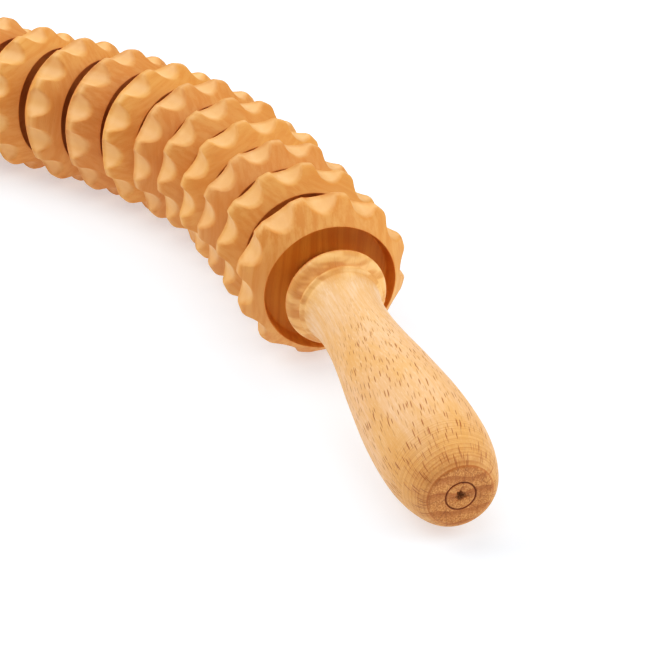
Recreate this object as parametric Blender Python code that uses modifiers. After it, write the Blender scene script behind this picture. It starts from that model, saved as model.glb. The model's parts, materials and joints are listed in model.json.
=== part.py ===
"""Flexible massage roller: scalloped wooden wheels on a bendable core, with a turned handle at each end.

Metres, +Z up. The roller lies on the surface z = 0. The near handle points to +X, and the row of
wheels bows towards +Y. Along the row, "near" is the end that the build starts from.
"""
import math

import bmesh
import bpy
from mathutils import Matrix, Vector

# --- driving dimensions -------------------------------------------------------------------------
WHEEL_COUNT = 14
TOOTH_COUNT = 12
WHEEL_RADIUS = 0.0280        # over the tooth crests
WHEEL_THICKNESS = 0.0196     # over the two rims
WHEEL_PITCH = 0.0232         # wheel centre to wheel centre along the core
CREST_WIDTH = 0.0034         # the narrow band left between the two bevels
RIM_RADIUS = 0.0214          # where the bevel ends and the recess begins
RECESS_DEPTH = 0.0060
RECESS_TAPER = 0.0010        # how much narrower the recess is at its floor
BEVEL_BULGE = 0.0002         # how far the bevel stands out from a straight cone
BLANK_MARGIN = 0.0004        # how far the turned blank stands out past the crests, before they are cut
TOOTH_FLAT = 0.0044          # the length of crest left between two scallops
SCALLOP_DEPTH = 0.0037
SCALLOP_FACETS = 4

CORE_RADIUS = 0.0045
BORE_RADIUS = 0.0052         # the wheels turn freely on the core
CORE_END_CHAMFER = 0.0018
CORE_JOINT_GAP = 0.0008      # between two lengths of the core, so that their ends clear when it bends
END_PIVOT = 0.0045           # from an end wheel's centre, or its neighbour's, to the pivots between them
HANDLE_START = 0.0048        # from the end wheel's centre to the handle's inner face
HANDLE_END = 0.1244          # from the end wheel's centre to the handle's outer face
HANDLE_BORE_DEPTH = 0.0300
CORE_GRIP = 0.0290           # how far the core goes into the handle
GAP = 0.0003                 # kept between pieces that touch

WHEEL_STEPS = 24
HANDLE_STEPS = 20
CORE_STEPS = 12

AXIS_HEIGHT = 0.0284
HANDLE_DROOP = 6.0           # degrees, each handle dips until its belly is close to the surface

# The bend of the core in each space between two wheels, in degrees, from the near end.
REST_BENDS = (0.6, 0.8, 2.8, 5.2, 7.4, 7.6, 6.0, 4.4, 2.0, 0.8, 2.4, 3.0, 3.0)

# Where each wheel happened to stop: the turn of its first tooth from straight up, in degrees.
WHEEL_TURNS = (18, 25, 2, 11, 0, 12, 15, 18, 24, 19, 9, 27, 5, 21)

# The handle's outer side, as (distance from the end wheel's centre, radius), from the inner face out.
HANDLE_PROFILE = (
    (HANDLE_START, 0.0100),
    (0.0093, 0.0106),
    (0.0108, 0.0130),
    (0.0130, 0.0152),
    (0.0152, 0.0163),        # the bead
    (0.0173, 0.0156),
    (0.0190, 0.0135),        # the groove behind it
    (0.0212, 0.0130),
    (0.0256, 0.0116),
    (0.0330, 0.0110),        # the neck
    (0.0420, 0.0111),
    (0.0525, 0.0120),
    (0.0635, 0.0133),
    (0.0740, 0.0144),
    (0.0850, 0.0154),
    (0.0950, 0.0158),        # the belly
    (0.1055, 0.0156),
    (0.1135, 0.0145),
    (0.1200, 0.0126),
    (0.1232, 0.0108),
    (HANDLE_END, 0.0088),
)

WHEEL_WOOD = ((0.72, 0.40, 0.17), 0.55)
HANDLE_WOOD = ((0.84, 0.60, 0.36), 0.50)
CORE_CORD = ((0.80, 0.76, 0.66), 0.90)


# --- scene and materials ------------------------------------------------------------------------
def clear_scene():
    for scene_object in list(bpy.data.objects):
        bpy.data.objects.remove(scene_object, do_unlink=True)


def new_collection(name):
    collection = bpy.data.collections.new(name)
    bpy.context.scene.collection.children.link(collection)
    return collection


def new_material(name, colour, roughness):
    material = bpy.data.materials.new(name)
    material.use_nodes = True
    shader = material.node_tree.nodes["Principled BSDF"]
    shader.inputs["Base Color"].default_value = (*colour, 1.0)
    shader.inputs["Roughness"].default_value = roughness
    shader.inputs["Metallic"].default_value = 0.0
    return material


# --- shapes -------------------------------------------------------------------------------------
def turned_object(name, profile, steps, collection, closed=False):
    """Turn a profile of (distance along the axis, radius) points about local Z."""
    mesh = bpy.data.meshes.new(name)
    points = [(radius, 0.0, along) for along, radius in profile]
    edges = [(i, i + 1) for i in range(len(points) - 1)]
    if closed:
        edges.append((len(points) - 1, 0))
    mesh.from_pydata(points, edges, [])
    turned = bpy.data.objects.new(name, mesh)
    collection.objects.link(turned)
    screw = turned.modifiers.new("Turn", "SCREW")
    screw.axis = "Z"
    screw.angle = math.tau
    screw.steps = steps
    screw.render_steps = steps
    screw.use_merge_vertices = True
    screw.merge_threshold = 0.00005
    return turned


def finished_mesh(source, name, material):
    """Apply a source object's modifiers into a new mesh, and remove the source."""
    bpy.context.view_layer.update()
    evaluated = source.evaluated_get(bpy.context.evaluated_depsgraph_get())
    mesh = bpy.data.meshes.new_from_object(evaluated)
    mesh.name = name
    mesh.materials.clear()
    mesh.materials.append(material)
    mesh.shade_smooth()
    mesh.set_sharp_from_angle(angle=math.radians(35))
    bpy.data.objects.remove(source, do_unlink=True)
    return mesh


def tooth_outline():
    """The wheel's outline: narrow crests with a round scallop between each two."""
    tooth_angle = math.tau / TOOTH_COUNT
    half_flat = 0.5 * TOOTH_FLAT / WHEEL_RADIUS
    chord_half = WHEEL_RADIUS * math.sin(tooth_angle / 2 - half_flat)
    chord_along = WHEEL_RADIUS * math.cos(tooth_angle / 2 - half_flat)
    depth_below_chord = chord_along - (WHEEL_RADIUS - SCALLOP_DEPTH)
    scallop_radius = (chord_half ** 2 + depth_below_chord ** 2) / (2 * depth_below_chord)
    scallop_centre = WHEEL_RADIUS - SCALLOP_DEPTH + scallop_radius
    sweep = math.asin(chord_half / scallop_radius)
    outline = []
    for tooth in range(TOOTH_COUNT):
        middle = (tooth + 0.5) * tooth_angle
        for facet in range(SCALLOP_FACETS + 1):
            swing = sweep * (2 * facet / SCALLOP_FACETS - 1)
            x = scallop_centre - scallop_radius * math.cos(swing)
            y = scallop_radius * math.sin(swing)
            outline.append((x * math.cos(middle) - y * math.sin(middle),
                            x * math.sin(middle) + y * math.cos(middle)))
    return outline


def outline_cutter(outline, depth, collection):
    """A prism of the tooth outline, about local Z, longer than the wheel is thick."""
    curve = bpy.data.curves.new("tooth_outline", "CURVE")
    curve.dimensions = "2D"
    curve.fill_mode = "BOTH"
    curve.extrude = depth
    spline = curve.splines.new("POLY")
    spline.points.add(len(outline) - 1)
    for point, (x, y) in zip(spline.points, outline):
        point.co = (x, y, 0.0, 1.0)
    spline.use_cyclic_u = True
    curve_object = bpy.data.objects.new("tooth_outline_curve", curve)
    collection.objects.link(curve_object)
    bpy.context.view_layer.update()
    evaluated = curve_object.evaluated_get(bpy.context.evaluated_depsgraph_get())
    mesh = bpy.data.meshes.new_from_object(evaluated)
    welded = bmesh.new()
    welded.from_mesh(mesh)
    bmesh.ops.remove_doubles(welded, verts=welded.verts, dist=0.00001)
    bmesh.ops.dissolve_limit(welded, angle_limit=math.radians(1), verts=welded.verts, edges=welded.edges)
    bmesh.ops.recalc_face_normals(welded, faces=welded.faces)
    welded.to_mesh(mesh)
    welded.free()
    bpy.data.objects.remove(curve_object, do_unlink=True)
    cutter = bpy.data.objects.new("tooth_outline", mesh)
    collection.objects.link(cutter)
    cutter.hide_render = True
    cutter.display_type = "WIRE"
    return cutter


def wheel_mesh(material, parts, cutters):
    half = WHEEL_THICKNESS / 2
    web = half - RECESS_DEPTH
    crest = CREST_WIDTH / 2
    blank = WHEEL_RADIUS + BLANK_MARGIN
    bevel_r = (RIM_RADIUS + WHEEL_RADIUS) / 2 + BEVEL_BULGE
    bevel_z = (half + crest) / 2 + BEVEL_BULGE
    profile = [
        (half, RIM_RADIUS),
        (bevel_z, bevel_r),
        (crest, blank),
        (-crest, blank),
        (-bevel_z, bevel_r),
        (-half, RIM_RADIUS),
        (-web, RIM_RADIUS - RECESS_TAPER),
        (-web, BORE_RADIUS),
        (web, BORE_RADIUS),
        (web, RIM_RADIUS - RECESS_TAPER),
    ]
    blank_object = turned_object("wheel_blank", profile, WHEEL_STEPS, parts, closed=True)
    cutter = outline_cutter(tooth_outline(), WHEEL_THICKNESS, cutters)
    shaping = blank_object.modifiers.new("Scallops", "BOOLEAN")
    shaping.operation = "INTERSECT"
    shaping.solver = "EXACT"
    shaping.object = cutter
    return finished_mesh(blank_object, "wheel", material)


def handle_mesh(material, parts):
    bore = CORE_RADIUS + GAP
    bore_end = HANDLE_START + HANDLE_BORE_DEPTH
    outside = [(HANDLE_END, 0.0)] + list(reversed(HANDLE_PROFILE))
    inside = [(HANDLE_START, bore), (bore_end, bore), (bore_end, 0.0)]
    blank = turned_object("handle_blank", outside + inside, HANDLE_STEPS, parts)
    return finished_mesh(blank, "handle", material)


def core_mesh(name, start, end, material, parts):
    """A length of the core about local Z, with both ends chamfered."""
    inner = CORE_RADIUS - CORE_END_CHAMFER
    profile = [
        (end, 0.0),
        (end, inner),
        (end - CORE_END_CHAMFER, CORE_RADIUS),
        (start + CORE_END_CHAMFER, CORE_RADIUS),
        (start, inner),
        (start, 0.0),
    ]
    blank = turned_object(name + "_blank", profile, CORE_STEPS, parts)
    return finished_mesh(blank, name, material)


# --- the spine: where each piece sits ------------------------------------------------------------
def pose(position, heading, dip, turn=0.0):
    """A frame whose local Z points along the row, towards the near end, at a heading and a dip below level.

    Local X starts straight up and is turned about the axis, all in degrees.
    """
    along = Matrix.Rotation(math.radians(heading), 4, "Z") @ Matrix.Rotation(math.radians(90 + dip), 4, "Y")
    upright = Matrix.Rotation(math.radians(180 + turn), 4, "Z")
    return Matrix.Translation(position) @ along @ upright


def direction(heading, dip=0.0):
    level = math.cos(math.radians(dip))
    return Vector((level * math.cos(math.radians(heading)), level * math.sin(math.radians(heading)),
                   -math.sin(math.radians(dip))))


def spine():
    """Frames along the core, from the near end, with the far-to-near chord turned onto the X axis."""
    frames = lay_out(0.0)
    chord = frames["near_tip"] - frames["far_tip"]
    return lay_out(-math.degrees(math.atan2(chord.y, chord.x)))


def lay_out(first_heading):
    heading = first_heading
    to_near = direction(heading, HANDLE_DROOP)
    near_pivot = Vector((0.0, 0.0, AXIS_HEIGHT))
    near_wheel = near_pivot + to_near * END_PIVOT
    frames = {
        "near_heading": heading,
        "near_pivot": near_pivot,
        "near_tip": near_wheel + to_near * HANDLE_END,
        "centres": [near_wheel],
        "headings": [heading],
        "bend_pivots": [],
    }
    position = near_pivot
    for space, bend in enumerate(REST_BENDS):
        before = WHEEL_PITCH - 2 * END_PIVOT if space == 0 else WHEEL_PITCH / 2
        after = END_PIVOT if space == 0 else WHEEL_PITCH / 2
        if space == len(REST_BENDS) - 1:
            before, after = END_PIVOT, WHEEL_PITCH - 2 * END_PIVOT
        pivot = position - direction(heading) * before
        frames["bend_pivots"].append(pivot)
        heading += bend
        position = pivot - direction(heading) * after
        if space < len(REST_BENDS) - 1:
            frames["centres"].append(position)
            frames["headings"].append(heading)
    frames["far_pivot"] = position
    frames["far_heading"] = heading
    to_far = direction(heading + 180, HANDLE_DROOP)
    far_wheel = position + to_far * END_PIVOT
    frames["centres"].append(far_wheel)
    frames["headings"].append(heading)
    frames["far_tip"] = far_wheel + to_far * HANDLE_END
    return frames


# --- assembly -----------------------------------------------------------------------------------
def place(name, mesh, frame, parts):
    piece = bpy.data.objects.new(name, mesh)
    parts.objects.link(piece)
    piece.matrix_world = frame
    return piece


def core_span(space_before, space_after):
    """The two ends of a middle length of core, each half a gap short of its pivot."""
    return CORE_JOINT_GAP / 2 - space_after, space_before - CORE_JOINT_GAP / 2


def centre_on_origin(pieces):
    """Stand the roller on z = 0 with the middle of its box over the origin."""
    bpy.context.view_layer.update()
    corners = [piece.matrix_world @ vertex.co for piece in pieces for vertex in piece.data.vertices]
    low = Vector([min(corner[axis] for corner in corners) for axis in range(3)])
    high = Vector([max(corner[axis] for corner in corners) for axis in range(3)])
    shift = Vector(((low.x + high.x) / 2, (low.y + high.y) / 2, low.z))
    for piece in pieces:
        piece.matrix_world = Matrix.Translation(-shift) @ piece.matrix_world
    return shift


def build():
    clear_scene()
    parts = new_collection("massage_roller")
    cutters = new_collection("cutters")
    wheel_wood = new_material("wheel_wood", *WHEEL_WOOD)
    handle_wood = new_material("handle_wood", *HANDLE_WOOD)
    core_cord = new_material("core_cord", *CORE_CORD)

    wheel = wheel_mesh(wheel_wood, parts, cutters)
    handle = handle_mesh(handle_wood, parts)
    half_pitch = WHEEL_PITCH / 2
    middle_core = core_mesh("core_middle", *core_span(half_pitch, half_pitch), core_cord, parts)
    near_mate_core = core_mesh("core_near_mate", *core_span(END_PIVOT, half_pitch), core_cord, parts)
    far_mate_core = core_mesh("core_far_mate", *core_span(half_pitch, END_PIVOT), core_cord, parts)
    end_core = core_mesh("core_end", CORE_JOINT_GAP / 2 - END_PIVOT, HANDLE_START + CORE_GRIP, core_cord, parts)
    link_length = WHEEL_PITCH - 2 * END_PIVOT
    link_core = core_mesh("core_link", CORE_JOINT_GAP / 2 - link_length, -CORE_JOINT_GAP / 2, core_cord, parts)

    frames = spine()
    centres, headings = frames["centres"], frames["headings"]
    last = WHEEL_COUNT - 1
    pieces = []
    for number, (centre, heading, turn) in enumerate(zip(centres, headings, WHEEL_TURNS)):
        dip = {0: HANDLE_DROOP, last: -HANDLE_DROOP}.get(number, 0.0)
        frame = pose(centre, heading, dip, turn)
        pieces.append(place(f"wheel_{number + 1:02d}", wheel, frame, parts))

    for number in range(1, last):
        mesh = {1: near_mate_core, last - 1: far_mate_core}.get(number, middle_core)
        frame = pose(centres[number], headings[number], 0.0)
        pieces.append(place(f"core_{number + 1:02d}", mesh, frame, parts))

    near_end = pose(centres[0], headings[0], HANDLE_DROOP)
    far_end = pose(centres[last], headings[last] + 180, HANDLE_DROOP)
    near_link = pose(frames["near_pivot"], headings[0], 0.0)
    far_link = pose(frames["far_pivot"], headings[last] + 180, 0.0)
    for side, end, link in (("near", near_end, near_link), ("far", far_end, far_link)):
        pieces.append(place(f"handle_{side}", handle, end, parts))
        pieces.append(place(f"core_end_{side}", end_core, end, parts))
        pieces.append(place(f"core_link_{side}", link_core, link, parts))
    centre_on_origin(pieces)


build()
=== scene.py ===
import json
import math

import bmesh
import bpy
import numpy as np
from mathutils import Matrix, Vector


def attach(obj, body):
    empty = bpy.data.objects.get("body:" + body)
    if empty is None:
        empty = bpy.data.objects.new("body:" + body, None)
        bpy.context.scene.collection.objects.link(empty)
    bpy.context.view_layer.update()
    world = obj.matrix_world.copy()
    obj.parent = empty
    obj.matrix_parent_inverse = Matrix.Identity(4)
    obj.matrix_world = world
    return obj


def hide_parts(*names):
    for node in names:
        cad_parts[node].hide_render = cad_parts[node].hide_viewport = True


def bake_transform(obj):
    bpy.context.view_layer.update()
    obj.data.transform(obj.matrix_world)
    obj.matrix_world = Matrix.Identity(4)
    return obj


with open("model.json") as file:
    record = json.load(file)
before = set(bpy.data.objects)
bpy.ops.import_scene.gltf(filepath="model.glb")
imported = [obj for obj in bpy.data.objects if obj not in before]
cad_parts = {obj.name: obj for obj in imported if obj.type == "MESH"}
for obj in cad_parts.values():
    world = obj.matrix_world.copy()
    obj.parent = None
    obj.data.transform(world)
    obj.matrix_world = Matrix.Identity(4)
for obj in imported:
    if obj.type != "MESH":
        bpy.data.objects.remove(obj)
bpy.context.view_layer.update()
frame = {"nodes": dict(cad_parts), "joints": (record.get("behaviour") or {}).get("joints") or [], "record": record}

MM = 0.001
WHEEL_COUNT = sum(name.startswith("wheel_") for name in frame["nodes"])
JOINTS = {joint["name"]: joint for joint in frame["joints"]}
OWN_PLACE = "own_place"      # the mesh attribute that materials read their coordinates from

# --- the camera ---------------------------------------------------------------------------------
CAMERA_PLACE = (0.5892, -0.3838, 0.2849)
CAMERA_HEADING = 138.96      # degrees from +X towards +Y
CAMERA_DIP = 25.49           # degrees below level
CAMERA_LENS = 108.13         # on a 36 mm sensor

# --- the light ----------------------------------------------------------------------------------
FLOOR_GLOW = 0.46            # the white floor's own light near the object
FLOOR_GLOW_SPAN = (0.8, 1.9)  # metres out, over which it rises to full white
BACKDROP_RADIUS = 8.0
WORLD_GLOW = 0.147
LIGHT_AIM = (0.15, 0.0, 0.03)
SOFTBOX_SIZE = 1.2
# Each softbox: name, degrees round from the camera's heading, elevation, metres away, and watts.
SOFTBOXES = (
    ("top", 8, 75, 1.5, 4.7),
    ("back_left", 70, 40, 1.4, 12.6),
    ("right", -100, 30, 1.3, 10.9),
    ("front", 180, 55, 1.4, 4.9),
    ("back", 0, 35, 1.5, 5.3),
)
# How deep each brightness prints, between black and white: a print with firm shadows.
TONE_CURVE = ((0.05, 0.023), (0.13, 0.084), (0.22, 0.171), (0.45, 0.45), (0.76, 0.79))

# --- a fine wheel -------------------------------------------------------------------------------
TOOTH_COUNT = 12
CREST_WIDTH = 3.4 * MM
RIM_RADIUS = 21.4 * MM
RECESS_DEPTH = 6.0 * MM
RECESS_TAPER = 1.0 * MM
BEVEL_BULGE = 0.2 * MM
BORE_RADIUS = 5.2 * MM
SCALLOP_DEPTH = 3.7 * MM
TOOTH_FLAT = 4.4 * MM
TOOTH_SOFTNESS = 1.1 * MM    # how far the corners between crest and scallop are worn round
COLUMNS_PER_TOOTH = 20

# --- the handle's fine details ------------------------------------------------------------------
CORE_RADIUS = 4.5 * MM
HANDLE_COLUMNS = 96
LATHE_RING_RADIUS = 4.3 * MM
LATHE_RING_WIDTH = 0.45 * MM
LATHE_RING_DEPTH = 0.35 * MM
CENTRE_HOLE_RADIUS = 1.35 * MM
CENTRE_HOLE_DEPTH = 1.6 * MM
NECK_RING_PLACE = 20.6 * MM  # from the end wheel's centre, just behind the bead
NECK_RING_WIDTH = 0.6 * MM
NECK_RING_HEIGHT = 0.45 * MM

# --- the woods' colours, as linear red, green and blue ------------------------------------------
WHEEL_LIGHT = (0.81, 0.425, 0.145)
WHEEL_DARK = (0.70, 0.30, 0.066)
WHEEL_PATCH = (0.66, 0.25, 0.045)
WHEEL_FLECK = (0.46, 0.17, 0.04)
# paler in the scallops and on the crest flats: partly paler cut grain, partly painted sheen and highlight
WHEEL_SHEEN_AND_CUT_GRAIN = (0.88, 0.51, 0.24)
WHEEL_RECESS_SHADE = (0.93, 0.90, 0.13)     # painted shade in the recess: the share of the wood's colour kept there
HANDLE_LIGHT = (0.860, 0.545, 0.325)
HANDLE_DARK = (0.770, 0.400, 0.155)
HANDLE_BELLY = (0.830, 0.455, 0.225)
HANDLE_BLOTCH = (0.80, 0.400, 0.125)
HANDLE_GLINT = (0.94, 0.63, 0.375)
HANDLE_SHOULDER = (0.80, 0.41, 0.125)
LATHE_MARK = (0.56, 0.22, 0.05)
RAY_BROWN = (0.34, 0.10, 0.016)
BEAD_DARK = (0.70, 0.30, 0.070)
BEAD_LIGHT = (0.94, 0.52, 0.205)
END_DARK = (0.48, 0.19, 0.048)
END_LIGHT = (0.74, 0.38, 0.140)
END_RING = (0.38, 0.13, 0.028)
END_CRACK = (0.25, 0.08, 0.02)
END_EDGE = (0.50, 0.17, 0.035)
BURNT_RING = (0.26, 0.070, 0.012)
HOLE_SHADE = (0.26, 0.10, 0.030)
CORD_DARK = (0.68, 0.59, 0.45)
CORD_LIGHT = (0.88, 0.82, 0.70)
CORD_SOIL = (0.58, 0.46, 0.31)

# --- the cord -----------------------------------------------------------------------------------
STRAND_COUNT = 3
CORD_LAY = 26 * MM           # one full twist
CORD_COLUMNS = 42
CORD_STEP = 0.9 * MM
CORD_EASE = 6 * MM           # how far from a pivot the cord starts to bend
CORD_GRIP = 33 * MM          # how far past the end wheel's centre the cord reaches into the handle


# --- places read from the frame -----------------------------------------------------------------
def axis_frame(origin, axis):
    """Local Z along the axis, and local X as near to straight up as it goes."""
    along = Vector(axis).normalized()
    up = Vector((0, 0, 1)) - along * along.z
    up.normalize()
    across = along.cross(up)
    frame_matrix = Matrix((up, across, along)).transposed().to_4x4()
    frame_matrix.translation = Vector(origin)
    return frame_matrix


def wheel_frame(number):
    spin = JOINTS[f"wheel_{number:02d}_spin"]
    return axis_frame(spin["pos_m"], spin["axis"])


def local_points(node, place):
    """A CAD node's vertices in a local frame, as an array."""
    to_local = place.inverted()
    return np.array([to_local @ vertex.co for vertex in frame["nodes"][node].data.vertices])


def measure_wheel(node, place):
    """The CAD wheel's radius, half thickness, and the turn of its teeth about local Z."""
    points = local_points(node, place)
    radii = np.hypot(points[:, 0], points[:, 1])
    radius = radii.max()
    crest = points[radii > radius - 0.1 * MM]
    turns = np.arctan2(crest[:, 1], crest[:, 0]) * TOOTH_COUNT
    phase = math.atan2(np.sin(turns).sum(), np.cos(turns).sum()) / TOOTH_COUNT
    return radius, points[:, 2].max(), phase


def measure_handle(node, place):
    """The CAD handle's outer side as (distance along, radius), from its inner face to its end."""
    points = local_points(node, place)
    outline = {}
    for x, y, along in points:
        radius = math.hypot(x, y)
        step = round(along / (0.2 * MM))
        if radius > outline.get(step, (0, 0))[1]:
            outline[step] = (along, radius)
    rings = [outline[step] for step in sorted(outline)]
    return [ring for ring in rings if ring[1] > CORE_RADIUS + 1 * MM]


# --- meshes -------------------------------------------------------------------------------------
def grid_mesh(name, rings, closed_rows=False):
    """A smooth mesh from an array of rings, each a closed loop of points. Joins the last ring to the
    first where closed_rows is true."""
    ring_count, column_count = rings.shape[0], rings.shape[1]
    faces = []
    last = ring_count if closed_rows else ring_count - 1
    for row in range(last):
        below, above = row * column_count, (row + 1) % ring_count * column_count
        for column in range(column_count):
            beside = (column + 1) % column_count
            faces.append((below + column, below + beside, above + beside, above + column))
    mesh = bpy.data.meshes.new(name)
    mesh.from_pydata([tuple(point) for point in rings.reshape(-1, 3)], [], faces)
    mesh.shade_smooth()
    return mesh


def rounded_corner(before, corner, after, steps):
    """Points of a curve that leaves the line to a corner at 'before' and ends at 'after'."""
    curve = []
    for step in range(steps + 1):
        t = step / steps
        curve.append((1 - t) ** 2 * before + 2 * t * (1 - t) * corner + t * t * after)
    return curve


def towards(start, end, distance):
    """The point that lies a distance from start on the way to end. Works on arrays of points."""
    way = end - start
    return start + way * (distance / np.linalg.norm(way, axis=-1, keepdims=True))


def tooth_radius(angle, radius):
    """The wheel's outline: a crest at each whole tooth, and a worn round scallop between."""
    tooth_angle = math.tau / TOOTH_COUNT
    tooth = np.round(angle / tooth_angle)
    gap = np.floor(angle / tooth_angle)
    depth = SCALLOP_DEPTH * (1 + 0.05 * np.sin(2.3 * gap))
    half_flat = 0.5 * TOOTH_FLAT / radius
    chord_half = radius * math.sin(tooth_angle / 2 - half_flat)
    chord_along = radius * math.cos(tooth_angle / 2 - half_flat)
    sag = chord_along - (radius - depth)
    scallop_radius = (chord_half ** 2 + sag ** 2) / (2 * sag)
    centre = radius - depth + scallop_radius
    swing = tooth_angle / 2 - np.abs(angle - tooth * tooth_angle)
    wall = np.maximum(scallop_radius ** 2 - (centre * np.sin(swing)) ** 2, 0.0)
    scallop = centre * np.cos(swing) - np.sqrt(wall)
    mix = np.clip(0.5 + 0.5 * (scallop - radius) / TOOTH_SOFTNESS, 0, 1)
    return scallop * (1 - mix) + radius * mix - TOOTH_SOFTNESS * mix * (1 - mix)


def half_section(angles, radius, half):
    """The wheel's section at each angle as (along, radius), from the bore's middle to the crest's."""
    ones = np.ones(len(angles))
    outline = tooth_radius(angles, radius)
    web = half - RECESS_DEPTH
    rim = np.array([half, RIM_RADIUS])
    crest = np.array([CREST_WIDTH / 2, radius])
    outward = np.array([radius - RIM_RADIUS, half - CREST_WIDTH / 2])
    outward /= np.linalg.norm(outward)
    bulge = (rim + crest) / 2 + 2 * BEVEL_BULGE * outward

    def bevel(t):
        t = np.asarray(t)[..., None]
        return (1 - t) ** 2 * rim + 2 * t * (1 - t) * bulge + t * t * crest

    fine = np.linspace(0, 1, 400)
    cut = np.interp(outline, bevel(fine)[:, 1], fine)
    corner = bevel(cut)
    level = np.stack([0 * ones, outline], axis=-1)
    hollow = ((radius - outline) / SCALLOP_DEPTH)[:, None]
    ease = (1.2 - 0.45 * hollow) * MM

    def fixed(along, across):
        return np.stack([along * ones, across * ones], axis=-1)

    floor_edge = RIM_RADIUS - RECESS_TAPER
    bore = fixed(web, BORE_RADIUS)
    inner = fixed(web, floor_edge)
    lip = fixed(*rim)
    section = [fixed(0, BORE_RADIUS)]
    bore_edge = fixed(web - 0.5 * MM, BORE_RADIUS), bore, fixed(web, BORE_RADIUS + 0.5 * MM)
    section += rounded_corner(*bore_edge, 3)
    section += [fixed(web, BORE_RADIUS + share * (floor_edge - BORE_RADIUS)) for share in (0.35, 0.7)]
    section += rounded_corner(towards(inner, bore, 0.9 * MM), inner, towards(inner, lip, 0.9 * MM), 4)
    section += [inner + (lip - inner) * 0.55]
    section += rounded_corner(towards(lip, inner, 0.5 * MM), lip, bevel(0.06 * ones), 4)
    # The rows of the bevel stop just short of its rounded corner, so that none folds back over it.
    reach = 1 - (ease[:, 0] + 0.2 * MM) / np.linalg.norm(corner - bevel(0.06 * ones), axis=1)
    shares = (0.14, 0.31, 0.48, 0.66, 0.83, 1.0)
    section += [bevel(0.06 + (cut - 0.06) * reach * share) for share in shares]
    corner_start, corner_end = towards(corner, bevel(cut - 0.1), ease), towards(corner, level, ease)
    section += rounded_corner(corner_start, corner, corner_end, 5)
    section += [corner + (level - corner) * share for share in (0.72, 1.0)]
    return np.stack(section)


def fine_wheel_mesh(radius, half):
    steps = np.arange(TOOTH_COUNT * COLUMNS_PER_TOOTH) / COLUMNS_PER_TOOTH
    crowded = steps - 0.6 * np.sin(math.tau * steps) / math.tau
    angles = crowded * math.tau / TOOTH_COUNT
    near_half = half_section(angles, radius, half)
    far_half = near_half[-2:0:-1] * np.array([-1.0, 1.0])
    section = np.concatenate([near_half, far_half])
    along, across = section[..., 0], section[..., 1]
    rings = np.stack([across * np.cos(angles), across * np.sin(angles), along], axis=-1)
    return grid_mesh("fine_wheel", rings[::-1], closed_rows=True)


def smooth_line(points, steps):
    """A curve through all the points: a Catmull-Rom spline, with its spans shared into steps."""
    points = np.array(points)
    padded = np.concatenate([[2 * points[0] - points[1]], points, [2 * points[-1] - points[-2]]])
    line = []
    for a, b, c, d in zip(padded, padded[1:], padded[2:], padded[3:]):
        for step in range(steps):
            t = step / steps
            line.append(0.5 * (2 * b + (c - a) * t + (2 * a - 5 * b + 4 * c - d) * t * t
                               + (3 * b - a - 3 * c + d) * t ** 3))
    line.append(points[-1])
    return np.array(line)


def handle_line(outline):
    """The handle's full turned line, from the middle of its end face to the bore at its inner face."""
    end = outline[-1][0]
    face_radius = outline[-1][1]
    ring, width, depth = LATHE_RING_RADIUS, LATHE_RING_WIDTH, LATHE_RING_DEPTH
    hole, hole_depth = CENTRE_HOLE_RADIUS, CENTRE_HOLE_DEPTH
    face = [
        (end - hole_depth, 0.0),
        (end - 0.85 * hole_depth, 0.35 * hole),
        (end - 0.45 * hole_depth, 0.75 * hole),
        (end - 0.12 * hole_depth, hole),
        (end, 1.25 * hole),
        (end, ring - 1.1 * width),
        (end, ring - 0.55 * width),
        (end - depth, ring - 0.2 * width),
        (end - depth, ring + 0.2 * width),
        (end, ring + 0.55 * width),
        (end, ring + 1.1 * width),
        (end, 0.8 * face_radius),
        (end, face_radius - 0.25 * MM),
    ]
    side = smooth_line(outline, 6)[::-1]
    side[:, 1] += NECK_RING_HEIGHT * np.exp(-((side[:, 0] - NECK_RING_PLACE) / NECK_RING_WIDTH) ** 2)
    for groove in (NECK_RING_PLACE - 2.1 * NECK_RING_WIDTH, NECK_RING_PLACE + 2.3 * NECK_RING_WIDTH):
        side[:, 1] -= NECK_RING_HEIGHT * np.exp(-((side[:, 0] - groove) / NECK_RING_WIDTH) ** 2)
    inner = [(outline[0][0], CORE_RADIUS + 0.5 * MM)]
    return np.concatenate([face, side, inner])


def fine_handle_mesh(outline):
    line = handle_line(outline)
    angles = np.arange(HANDLE_COLUMNS) * math.tau / HANDLE_COLUMNS
    along = line[:, 0][:, None] * np.ones(HANDLE_COLUMNS)
    across = line[:, 1][:, None] * np.ones(HANDLE_COLUMNS)
    chipped = np.arange(1, 5)
    wave = 0.20 * np.sin(3 * angles + 0.6) + 0.14 * np.sin(7 * angles + 2.1) + 0.10 * np.sin(13 * angles)
    across[chipped] *= 1 + wave
    rings = np.stack([across * np.cos(angles), across * np.sin(angles), along], axis=-1)
    return grid_mesh("fine_handle", rings)


def cord_ring(centre, along, distance):
    """One ring of a twisted three-strand cord, square to the cord's line."""
    up = Vector((0, 0, 1)) - along * along.z
    up.normalize()
    side = along.cross(up)
    strand_angle = math.tau / STRAND_COUNT
    spread = CORE_RADIUS / (1 + math.sin(strand_angle / 2))
    strand = CORE_RADIUS - spread
    ring = []
    for column in range(CORD_COLUMNS):
        angle = column * math.tau / CORD_COLUMNS
        off = (angle - distance / CORD_LAY * math.tau) % strand_angle - strand_angle / 2
        reach = spread * math.cos(off) + math.sqrt(max(strand ** 2 - (spread * math.sin(off)) ** 2, 0.0))
        ring.append(centre + (up * math.cos(angle) + side * math.sin(angle)) * reach)
    return ring


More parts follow.
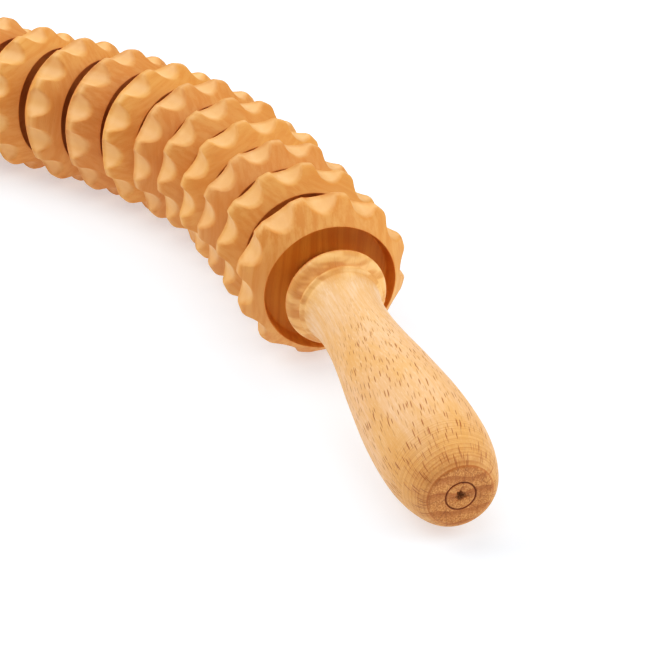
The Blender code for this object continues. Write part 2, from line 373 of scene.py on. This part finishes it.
def cord_mesh(name, start, pivot, end, distance):
    """A stretch of cord that runs straight from start, eases round the pivot and runs straight to end."""
    before, after = (start - pivot), (end - pivot)
    ease_in = pivot + before.normalized() * min(CORD_EASE, before.length)
    ease_out = pivot + after.normalized() * min(CORD_EASE, after.length)
    line = [start.lerp(ease_in, share) for share in np.linspace(0, 1, steps_for(start, ease_in))[:-1]]
    line += [ease_in.lerp(pivot, t).lerp(pivot.lerp(ease_out, t), t) for t in np.linspace(0, 1, 15)[:-1]]
    line += [ease_out.lerp(end, share) for share in np.linspace(0, 1, steps_for(ease_out, end))]
    rings = []
    for index, centre in enumerate(line):
        ahead = line[min(index + 1, len(line) - 1)]
        behind = line[max(index - 1, 0)]
        if index > 0:
            distance += (centre - behind).length
        rings.append(cord_ring(centre, (behind - ahead).normalized(), distance))
    return grid_mesh(name, np.array(rings)), distance


def steps_for(start, end):
    return max(2, math.ceil((end - start).length / CORD_STEP) + 1)


# --- materials ----------------------------------------------------------------------------------
class Shader:
    """A material whose nodes are added and wired one call at a time."""

    def __init__(self, name):
        self.material = bpy.data.materials.new(name)
        self.material.use_nodes = True
        self.tree = self.material.node_tree
        self.surface = self.tree.nodes["Principled BSDF"]

    def node(self, kind, **settings):
        node = self.tree.nodes.new(kind)
        for name, value in settings.items():
            setattr(node, name, value)
        return node

    def feed(self, socket, value):
        if isinstance(value, bpy.types.NodeSocket):
            self.tree.links.new(value, socket)
        else:
            socket.default_value = value

    def coordinates(self, offset=(0, 0, 0), turn=(0, 0, 0), scale=(1, 1, 1)):
        """The piece's own coordinates in metres, moved, turned and scaled."""
        source = self.node("ShaderNodeAttribute", attribute_name=OWN_PLACE).outputs["Vector"]
        return self.mapped(self.mapped(source, offset, turn), scale=scale)

    def mapped(self, vector, offset=(0, 0, 0), turn=(0, 0, 0), scale=(1, 1, 1)):
        mapping = self.node("ShaderNodeMapping")
        self.feed(mapping.inputs["Vector"], vector)
        mapping.inputs["Location"].default_value = offset
        mapping.inputs["Rotation"].default_value = [math.radians(angle) for angle in turn]
        mapping.inputs["Scale"].default_value = scale
        return mapping.outputs["Vector"]

    def noise(self, vector, scale=1.0, detail=3.0, roughness=0.5, distortion=0.0):
        noise = self.node("ShaderNodeTexNoise")
        self.feed(noise.inputs["Vector"], vector)
        noise.inputs["Scale"].default_value = scale
        noise.inputs["Detail"].default_value = detail
        noise.inputs["Roughness"].default_value = roughness
        noise.inputs["Distortion"].default_value = distortion
        return noise.outputs["Fac"]

    def cells(self, vector, feature="F1"):
        cells = self.node("ShaderNodeTexVoronoi", feature=feature)
        self.feed(cells.inputs["Vector"], vector)
        cells.inputs["Scale"].default_value = 1.0
        return cells.outputs

    def maths(self, operation, first, second=0.0, third=0.0):
        node = self.node("ShaderNodeMath", operation=operation)
        for socket, value in zip(node.inputs, (first, second, third)):
            self.feed(socket, value)
        return node.outputs[0]

    def times(self, first, second):
        return self.maths("MULTIPLY", first, second)

    def split(self, vector):
        """A vector's X, Y and Z."""
        node = self.node("ShaderNodeSeparateXYZ")
        self.feed(node.inputs[0], vector)
        return node.outputs["X"], node.outputs["Y"], node.outputs["Z"]

    def reach(self, x, y):
        """How far out from the local Z axis a point is."""
        squares = [self.maths("POWER", value, 2.0) for value in (x, y)]
        return self.maths("SQRT", self.maths("ADD", *squares))

    def span(self, value, low, high, out_low=0.0, out_high=1.0):
        """Carries low..high over to out_low..out_high, with soft ends, and clamps outside."""
        node = self.node("ShaderNodeMapRange", interpolation_type="SMOOTHSTEP")
        for name, number in (("Value", value), ("From Min", low), ("From Max", high),
                             ("To Min", out_low), ("To Max", out_high)):
            self.feed(node.inputs[name], number)
        return node.outputs["Result"]

    def mix(self, factor, first, second, blend="MIX"):
        node = self.node("ShaderNodeMix", data_type="RGBA", blend_type=blend)
        self.feed(node.inputs[0], factor)
        self.feed(node.inputs[6], first if isinstance(first, bpy.types.NodeSocket) else (*first, 1.0))
        self.feed(node.inputs[7], second if isinstance(second, bpy.types.NodeSocket) else (*second, 1.0))
        return node.outputs[2]

    def bump(self, height, distance, strength=1.0):
        node = self.node("ShaderNodeBump")
        self.feed(node.inputs["Height"], height)
        node.inputs["Distance"].default_value = distance
        node.inputs["Strength"].default_value = strength
        return node.outputs["Normal"]

    def finish(self, colour, roughness, normal):
        self.feed(self.surface.inputs["Base Color"], colour)
        self.feed(self.surface.inputs["Roughness"], roughness)
        self.feed(self.surface.inputs["Normal"], normal)
        return self.material


def wheel_wood(number, radius, half):
    """Warm beech whose grain runs across the wheel's face. Each wheel is cut from another board."""
    grain_turn = 4 if number == 1 else (61 * number) % 180
    shader = Shader(f"wheel_wood_{number:02d}")
    here = shader.coordinates()
    board_place = (0.37 * number, 0.13 * number, 0.07 * number)
    board = shader.mapped(here, offset=board_place, turn=(0, 0, grain_turn))
    bent = shader.noise(board, scale=40, detail=1)
    bent = shader.times(shader.maths("SUBTRACT", bent, 0.5), 0.005)
    grainwise, crosswise, through = shader.split(board)
    wavy = shader.node("ShaderNodeCombineXYZ")
    for socket, value in zip(wavy.inputs, (grainwise, shader.maths("ADD", crosswise, bent), through)):
        shader.feed(socket, value)
    streaks = shader.noise(shader.mapped(wavy.outputs[0], scale=(14, 620, 260)), detail=2, roughness=0.5)
    fine = shader.noise(shader.mapped(wavy.outputs[0], scale=(30, 2100, 1500)), detail=2, roughness=0.6)
    tone = shader.maths("MULTIPLY_ADD", streaks, 0.75, shader.times(fine, 0.25))
    tone = shader.span(tone, 0.36, 0.64, *((0.12, 0.88) if number == 1 else (0.25, 0.75)))
    rosiness = 0.5 + 0.5 * math.sin(2.4 * number + 0.5)
    depth = 0.5 + 0.5 * math.sin(4.1 * number + 1.0)
    light = shade(WHEEL_LIGHT, rosiness, depth)
    dark = shade(WHEEL_DARK, rosiness, depth)
    colour = shader.mix(tone, dark, light)
    patch = shader.noise(here, scale=55, detail=2)
    colour = shader.mix(shader.span(patch, 0.42, 0.68, 0.0, 0.34), colour, WHEEL_PATCH)
    flecks = shader.cells(shader.mapped(board, scale=(300, 2300, 2300)))["Distance"]
    fleck = shader.span(flecks, 0.10, 0.24, 1.0, 0.0)
    colour = shader.mix(shader.times(fleck, 0.20), colour, WHEEL_FLECK)
    x, y, along = shader.split(here)
    reach = shader.reach(x, y)
    level = shader.maths("ABSOLUTE", along)
    # Paler in the scallops and on the crest flats: partly the cut grain's paler colour, partly a painted sheen and
    # highlight where they face the lamps.
    slope = (half - CREST_WIDTH / 2) / (radius - RIM_RADIUS)
    bevel = shader.maths("MULTIPLY_ADD", shader.maths("SUBTRACT", reach, RIM_RADIUS), -slope, half)
    hollow = shader.span(shader.maths("SUBTRACT", bevel, level), 0.0, 3.2 * MM)
    hollow = shader.times(hollow, shader.span(reach, RIM_RADIUS, RIM_RADIUS + 1.0 * MM))
    colour = shader.mix(shader.times(hollow, 0.60), colour, WHEEL_SHEEN_AND_CUT_GRAIN)
    # Painted shade in the recess: darker and deeper orange there, strongest on the two end wheels.
    recess = shader.span(reach, RIM_RADIUS - 0.4 * MM, RIM_RADIUS + 0.3 * MM, 1.0, 0.0)
    recess_shade_share = 0.70 if number in (1, WHEEL_COUNT) else 0.30
    colour = shader.mix(shader.times(recess, recess_shade_share), colour, WHEEL_RECESS_SHADE, blend="MULTIPLY")
    height = shader.maths("SUBTRACT", shader.times(fine, 0.5), shader.times(fleck, 0.4))
    roughness = shader.span(fine, 0.3, 0.7, 0.48, 0.60)
    shader.surface.inputs["Specular IOR Level"].default_value = 0.50
    return shader.finish(colour, roughness, shader.bump(height, 0.00008))


def shade(colour, rosiness, depth):
    """One board's own tint of a colour: up to a little redder, and up to a little deeper."""
    red, green, blue = colour
    fade = 1 - 0.10 * depth
    return red * fade, green * fade * (1 - 0.04 * rosiness), blue * fade * (1 + 0.08 * rosiness)


def handle_wood(name, seed, end):
    """Pale beech: growth layers level across the grip, short dark rays along it, darker end grain."""
    shader = Shader(name)
    here = shader.coordinates()
    board = shader.mapped(here, offset=(seed, 0.5 * seed, 0.25 * seed))
    x, y, along = shader.split(here)
    reach = shader.reach(x, y)

    warp = shader.noise(shader.mapped(board, scale=(45, 45, 14)), detail=2)
    layer = shader.maths("ADD", shader.times(x, 165.0), shader.times(warp, 3.2))
    ring = shader.maths("FRACT", layer)
    rings = shader.maths("MAXIMUM", shader.span(ring, 0.40, 0.97), shader.span(ring, 0.0, 0.08, 1.0, 0.0))
    fibre = shader.noise(shader.mapped(board, scale=(1500, 1500, 60)), detail=3, roughness=0.65)
    # Paler near the neck and deeper towards the belly: partly the wood's own tone, partly a painted highlight on
    # the neck.
    colour = shader.mix(shader.span(along, 24 * MM, 78 * MM, 0.0, 0.75), HANDLE_LIGHT, HANDLE_BELLY)
    colour = shader.mix(shader.times(rings, 0.34), colour, HANDLE_DARK)
    colour = shader.mix(shader.span(fibre, 0.38, 0.64, 0.0, 0.50), colour, HANDLE_DARK)
    blotch = shader.noise(shader.mapped(board, scale=(90, 90, 30)), detail=3)
    colour = shader.mix(shader.span(blotch, 0.44, 0.60, 0.0, 0.50), colour, HANDLE_BLOTCH)
    glint = shader.noise(shader.mapped(board, scale=(2600, 2600, 330)), detail=2, roughness=0.6)
    colour = shader.mix(shader.span(glint, 0.52, 0.70, 0.0, 0.38), colour, HANDLE_GLINT)
    bead = shader.span(along, 20.5 * MM, 27.0 * MM, 1.0, 0.0)
    bands = shader.noise(shader.mapped(board, scale=(260, 90, 60)), detail=2)
    bead_wood = shader.mix(shader.span(bands, 0.42, 0.58), BEAD_DARK, BEAD_LIGHT)
    colour = shader.mix(shader.times(bead, 0.75), colour, bead_wood)

    turn = shader.maths("ARCTAN2", y, x)
    unrolled = shader.node("ShaderNodeCombineXYZ")
    slant = shader.times(along, -0.14)
    shader.feed(unrolled.inputs["X"], shader.maths("MULTIPLY_ADD", turn, 0.0142, slant))
    shader.feed(unrolled.inputs["Y"], along)
    rays = []
    for across_scale, along_scale, kept in ((900, 96, 0.80), (1250, 128, 0.70)):
        cells = shader.node("ShaderNodeTexVoronoi", voronoi_dimensions="2D")
        shader.feed(cells.inputs["Vector"], shader.mapped(unrolled.outputs[0], offset=(seed, seed, 0),
                                                          scale=(across_scale, along_scale, 1)))
        cells.inputs["Scale"].default_value = 1.0
        lot = shader.node("ShaderNodeSeparateColor")
        shader.feed(lot.inputs[0], cells.outputs["Color"])
        spindle = shader.span(cells.outputs["Distance"], 0.10, 0.20, 1.0, 0.0)
        chosen = shader.maths("LESS_THAN", lot.outputs[0], kept)
        depth = shader.span(lot.outputs[1], 0.0, 1.0, 0.25, 0.9)
        rays.append(shader.times(shader.times(spindle, chosen), depth))
    ray_share = shader.span(along, 28 * MM, 62 * MM, 0.12, 1.0)
    ray = shader.times(shader.maths("MAXIMUM", *rays), ray_share)

    shoulder = shader.span(along, end - 24 * MM, end - 6 * MM)
    marks = shader.node("ShaderNodeTexNoise", noise_dimensions="1D")
    shader.feed(marks.inputs["W"], shader.maths("ADD", shader.times(along, 2300.0),
                                                shader.times(warp, 2.0)))
    marks.inputs["Scale"].default_value = 1.0
    marks.inputs["Detail"].default_value = 1.0
    mark = shader.times(shader.span(marks.outputs["Fac"], 0.42, 0.62), shoulder)
    colour = shader.mix(shader.times(shoulder, 0.35), colour, HANDLE_SHOULDER)
    colour = shader.mix(shader.times(mark, 0.42), colour, LATHE_MARK)
    colour = shader.mix(shader.times(ray, 0.90), colour, RAY_BROWN)

    face = shader.span(along, end - 0.55 * MM, end - 0.25 * MM)
    near_end = shader.span(along, end - 9 * MM, end, 0.0, 0.40)
    grain = shader.noise(shader.mapped(board, scale=(2200, 2200, 900)), detail=3, roughness=0.7)
    end_grain = shader.mix(shader.span(grain, 0.35, 0.68), END_DARK, END_LIGHT)
    end_grain = shader.mix(shader.times(rings, 0.66), end_grain, END_RING)
    cracks = shader.cells(shader.mapped(board, scale=(120, 420, 60)), feature="DISTANCE_TO_EDGE")["Distance"]
    crack = shader.span(cracks, 0.0, 0.035, 0.45, 0.0)
    end_grain = shader.mix(crack, end_grain, END_CRACK)
    end_share = shader.maths("MAXIMUM", shader.times(face, 0.95), near_end)
    colour = shader.mix(end_share, colour, end_grain)

    off_edge = shader.maths("ABSOLUTE", shader.maths("SUBTRACT", along, end - 0.30 * MM))
    edge = shader.span(off_edge, 0.04 * MM, 0.16 * MM, 0.55, 0.0)
    colour = shader.mix(edge, colour, END_EDGE)
    off_ring = shader.maths("ABSOLUTE", shader.maths("SUBTRACT", reach, LATHE_RING_RADIUS))
    burnt = shader.times(shader.span(off_ring, 0.14 * MM, 0.36 * MM, 1.0, 0.0), face)
    hole = shader.span(reach, 0.8 * CENTRE_HOLE_RADIUS, 1.3 * CENTRE_HOLE_RADIUS, 1.0, 0.0)
    hole = shader.times(hole, shader.span(along, end - 2.5 * MM, end - 2.0 * MM))
    colour = shader.mix(shader.times(burnt, 0.92), colour, BURNT_RING)
    colour = shader.mix(shader.times(hole, 0.65), colour, HOLE_SHADE)

    height = shader.maths("SUBTRACT", shader.times(fibre, 0.4), shader.times(ray, 0.9))
    height = shader.maths("SUBTRACT", height, shader.times(mark, 0.6))
    roughness = shader.span(fibre, 0.3, 0.7, 0.44, 0.58)
    shader.surface.inputs["Specular IOR Level"].default_value = 0.50
    return shader.finish(colour, roughness, shader.bump(height, 0.00008))


def cord_cotton():
    """Undyed cotton: fine fibres along the strands, slightly soiled."""
    shader = Shader("cord_cotton")
    here = shader.coordinates()
    fibres = shader.noise(shader.mapped(here, turn=(0, 0, 25), scale=(900, 4200, 4200)), detail=3)
    soil = shader.noise(here, scale=160, detail=2)
    colour = shader.mix(shader.span(fibres, 0.3, 0.7), CORD_DARK, CORD_LIGHT)
    colour = shader.mix(shader.span(soil, 0.45, 0.7, 0.0, 0.35), colour, CORD_SOIL)
    return shader.finish(colour, shader.span(fibres, 0.3, 0.7, 0.82, 0.95), shader.bump(fibres, 0.0002))


# --- pieces -------------------------------------------------------------------------------------
def add_piece(name, mesh, material, place=Matrix.Identity(4)):
    """Moves a mesh to its place, and keeps every point's own coordinates for the material."""
    points = np.empty(3 * len(mesh.vertices), np.float32)
    mesh.vertices.foreach_get("co", points)
    mesh.attributes.new(OWN_PLACE, "FLOAT_VECTOR", "POINT").data.foreach_set("vector", points)
    mesh.transform(place)
    piece = bpy.data.objects.new(name, mesh)
    bpy.context.scene.collection.objects.link(piece)
    piece.data.materials.append(material)
    return piece


def make_wheels():
    radius, half, _ = measure_wheel("wheel_02", wheel_frame(2))
    shape = fine_wheel_mesh(radius, half)
    for number in range(1, WHEEL_COUNT + 1):
        node = f"wheel_{number:02d}"
        place = wheel_frame(number)
        phase = measure_wheel(node, place)[2]
        mesh = shape.copy()
        mesh.transform(Matrix.Rotation(phase, 4, "Z"))
        wheel = add_piece(f"fine_{node}", mesh, wheel_wood(number, radius, half), place)
        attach(wheel, f"{node}_body")
        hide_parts(node)


def make_handles():
    for side, number, seed in (("near", 1, 0.11), ("far", WHEEL_COUNT, 0.43)):
        node = f"handle_{side}"
        place = wheel_frame(number)
        if side == "far":
            spin = JOINTS[f"wheel_{number:02d}_spin"]
            place = axis_frame(spin["pos_m"], -Vector(spin["axis"]))
        outline = measure_handle(node, place)
        wood = handle_wood(f"handle_wood_{side}", seed, outline[-1][0])
        handle = add_piece(f"fine_{node}", fine_handle_mesh(outline), wood, place)
        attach(handle, f"{side}_end")
        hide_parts(node)


def cord_stops():
    """Along the cord from the near handle: each length's body, and the pivots between them."""
    near_spin, far_spin = JOINTS["wheel_01_spin"], JOINTS[f"wheel_{WHEEL_COUNT:02d}_spin"]
    near_tip = Vector(near_spin["pos_m"]) + Vector(near_spin["axis"]) * CORD_GRIP
    far_tip = Vector(far_spin["pos_m"]) - Vector(far_spin["axis"]) * CORD_GRIP
    bends = [JOINTS[f"core_bend_{number:02d}"] for number in range(1, WHEEL_COUNT)]
    pivots = [JOINTS["handle_droop_near"], *bends, JOINTS["handle_droop_far"]]
    pivots = [Vector(joint["pos_m"]) for joint in pivots]
    centres = [Vector(JOINTS[f"wheel_{number:02d}_spin"]["pos_m"]) for number in range(2, WHEEL_COUNT)]
    stops = [near_tip, (pivots[0] + pivots[1]) / 2, *centres, (pivots[-2] + pivots[-1]) / 2, far_tip]
    middle = [f"core_{number:02d}_body" for number in range(2, WHEEL_COUNT)]
    bodies = ["near_end", "near_link", *middle, "far_link", "far_end"]
    return stops, pivots, bodies


def make_cord():
    material = cord_cotton()
    stops, pivots, bodies = cord_stops()
    members = frame["record"]["behaviour"]["bodies"]
    distance = 0.0
    for index, pivot in enumerate(pivots):
        start, end = stops[index], stops[index + 1]
        mesh, distance = cord_mesh(f"cord_{index + 1:02d}", start, pivot, end, distance)
        cord = add_piece(f"cord_{index + 1:02d}", mesh, material)
        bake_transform(cord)
        stands_for = [node for node in members[bodies[index]] if node.startswith("core_")]
        if index == len(pivots) - 1:
            stands_for += [node for node in members[bodies[-1]] if node.startswith("core_")]
        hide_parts(*stands_for)


# --- surroundings -------------------------------------------------------------------------------
def make_camera():
    data = bpy.data.cameras.new("camera")
    data.sensor_width = 36
    data.lens = CAMERA_LENS
    data.clip_end = 20
    camera = bpy.data.objects.new("camera", data)
    bpy.context.scene.collection.objects.link(camera)
    camera.location = CAMERA_PLACE
    camera.rotation_euler = (math.radians(90 - CAMERA_DIP), 0, math.radians(CAMERA_HEADING - 90))
    bpy.context.scene.camera = camera


def make_floor():
    mesh = bpy.data.meshes.new("floor")
    size = BACKDROP_RADIUS
    corners = [(-size, -size, 0), (size, -size, 0), (size, size, 0), (-size, size, 0)]
    mesh.from_pydata(corners, [], [(0, 1, 2, 3)])
    shader = Shader("floor_white")
    dust = shader.noise(shader.coordinates(), scale=40, detail=2)
    colour = shader.mix(dust, (0.55, 0.60, 0.63), (0.57, 0.62, 0.65))
    distance = shader.node("ShaderNodeVectorMath", operation="LENGTH")
    shader.feed(distance.inputs[0], shader.coordinates())
    glow = shader.span(distance.outputs["Value"], *FLOOR_GLOW_SPAN, FLOOR_GLOW, 1.0)
    shader.surface.inputs["Emission Color"].default_value = (0.97, 0.96, 1.0, 1.0)
    shader.feed(shader.surface.inputs["Emission Strength"], glow)
    shader.surface.inputs["Specular IOR Level"].default_value = 0.2
    floor = add_piece("floor", mesh, shader.finish(colour, 0.7, shader.bump(dust, 0.00002)))


def make_backdrop():
    """A white dome that only the camera sees, so that it adds no light."""
    mesh = bpy.data.meshes.new("backdrop")
    form = bmesh.new()
    bmesh.ops.create_icosphere(form, subdivisions=4, radius=BACKDROP_RADIUS)
    form.to_mesh(mesh)
    form.free()
    shader = Shader("backdrop_white")
    shader.surface.inputs["Base Color"].default_value = (0.0, 0.0, 0.0, 1.0)
    shader.surface.inputs["Specular IOR Level"].default_value = 0.0
    shader.surface.inputs["Emission Color"].default_value = (1.0, 1.0, 1.0, 1.0)
    shader.surface.inputs["Emission Strength"].default_value = 1.0
    dome = add_piece("backdrop", mesh, shader.material)
    dome.visible_diffuse = False
    dome.visible_glossy = False
    dome.visible_shadow = False


def add_softbox(name, aim, azimuth, elevation, distance, power):
    data = bpy.data.lights.new(name, "AREA")
    data.shape = "DISK"
    data.size = SOFTBOX_SIZE
    data.energy = power
    data.color = (1.0, 0.99, 0.98)
    box = bpy.data.objects.new(name, data)
    bpy.context.scene.collection.objects.link(box)
    a, e = math.radians(azimuth), math.radians(elevation)
    way = Vector((math.cos(e) * math.cos(a), math.cos(e) * math.sin(a), math.sin(e)))
    box.location = aim + way * distance
    box.rotation_euler = way.to_track_quat("Z", "Y").to_euler()


def make_light():
    world = bpy.data.worlds.new("studio")
    world.use_nodes = True
    background = world.node_tree.nodes["Background"]
    background.inputs["Color"].default_value = (0.98, 0.98, 1.0, 1.0)
    background.inputs["Strength"].default_value = WORLD_GLOW
    bpy.context.scene.world = world
    aim = Vector(LIGHT_AIM)
    for name, turn, elevation, distance, power in SOFTBOXES:
        add_softbox(name, aim, CAMERA_HEADING + turn, elevation, distance, power)
    view = bpy.context.scene.view_settings
    view.view_transform = "Standard"
    view.use_curve_mapping = True
    tones = view.curve_mapping.curves[3].points
    for dark, shown in TONE_CURVE:
        tones.new(dark, shown)
    view.curve_mapping.update()


make_camera()
make_floor()
make_backdrop()
make_light()
make_wheels()
make_handles()
make_cord()
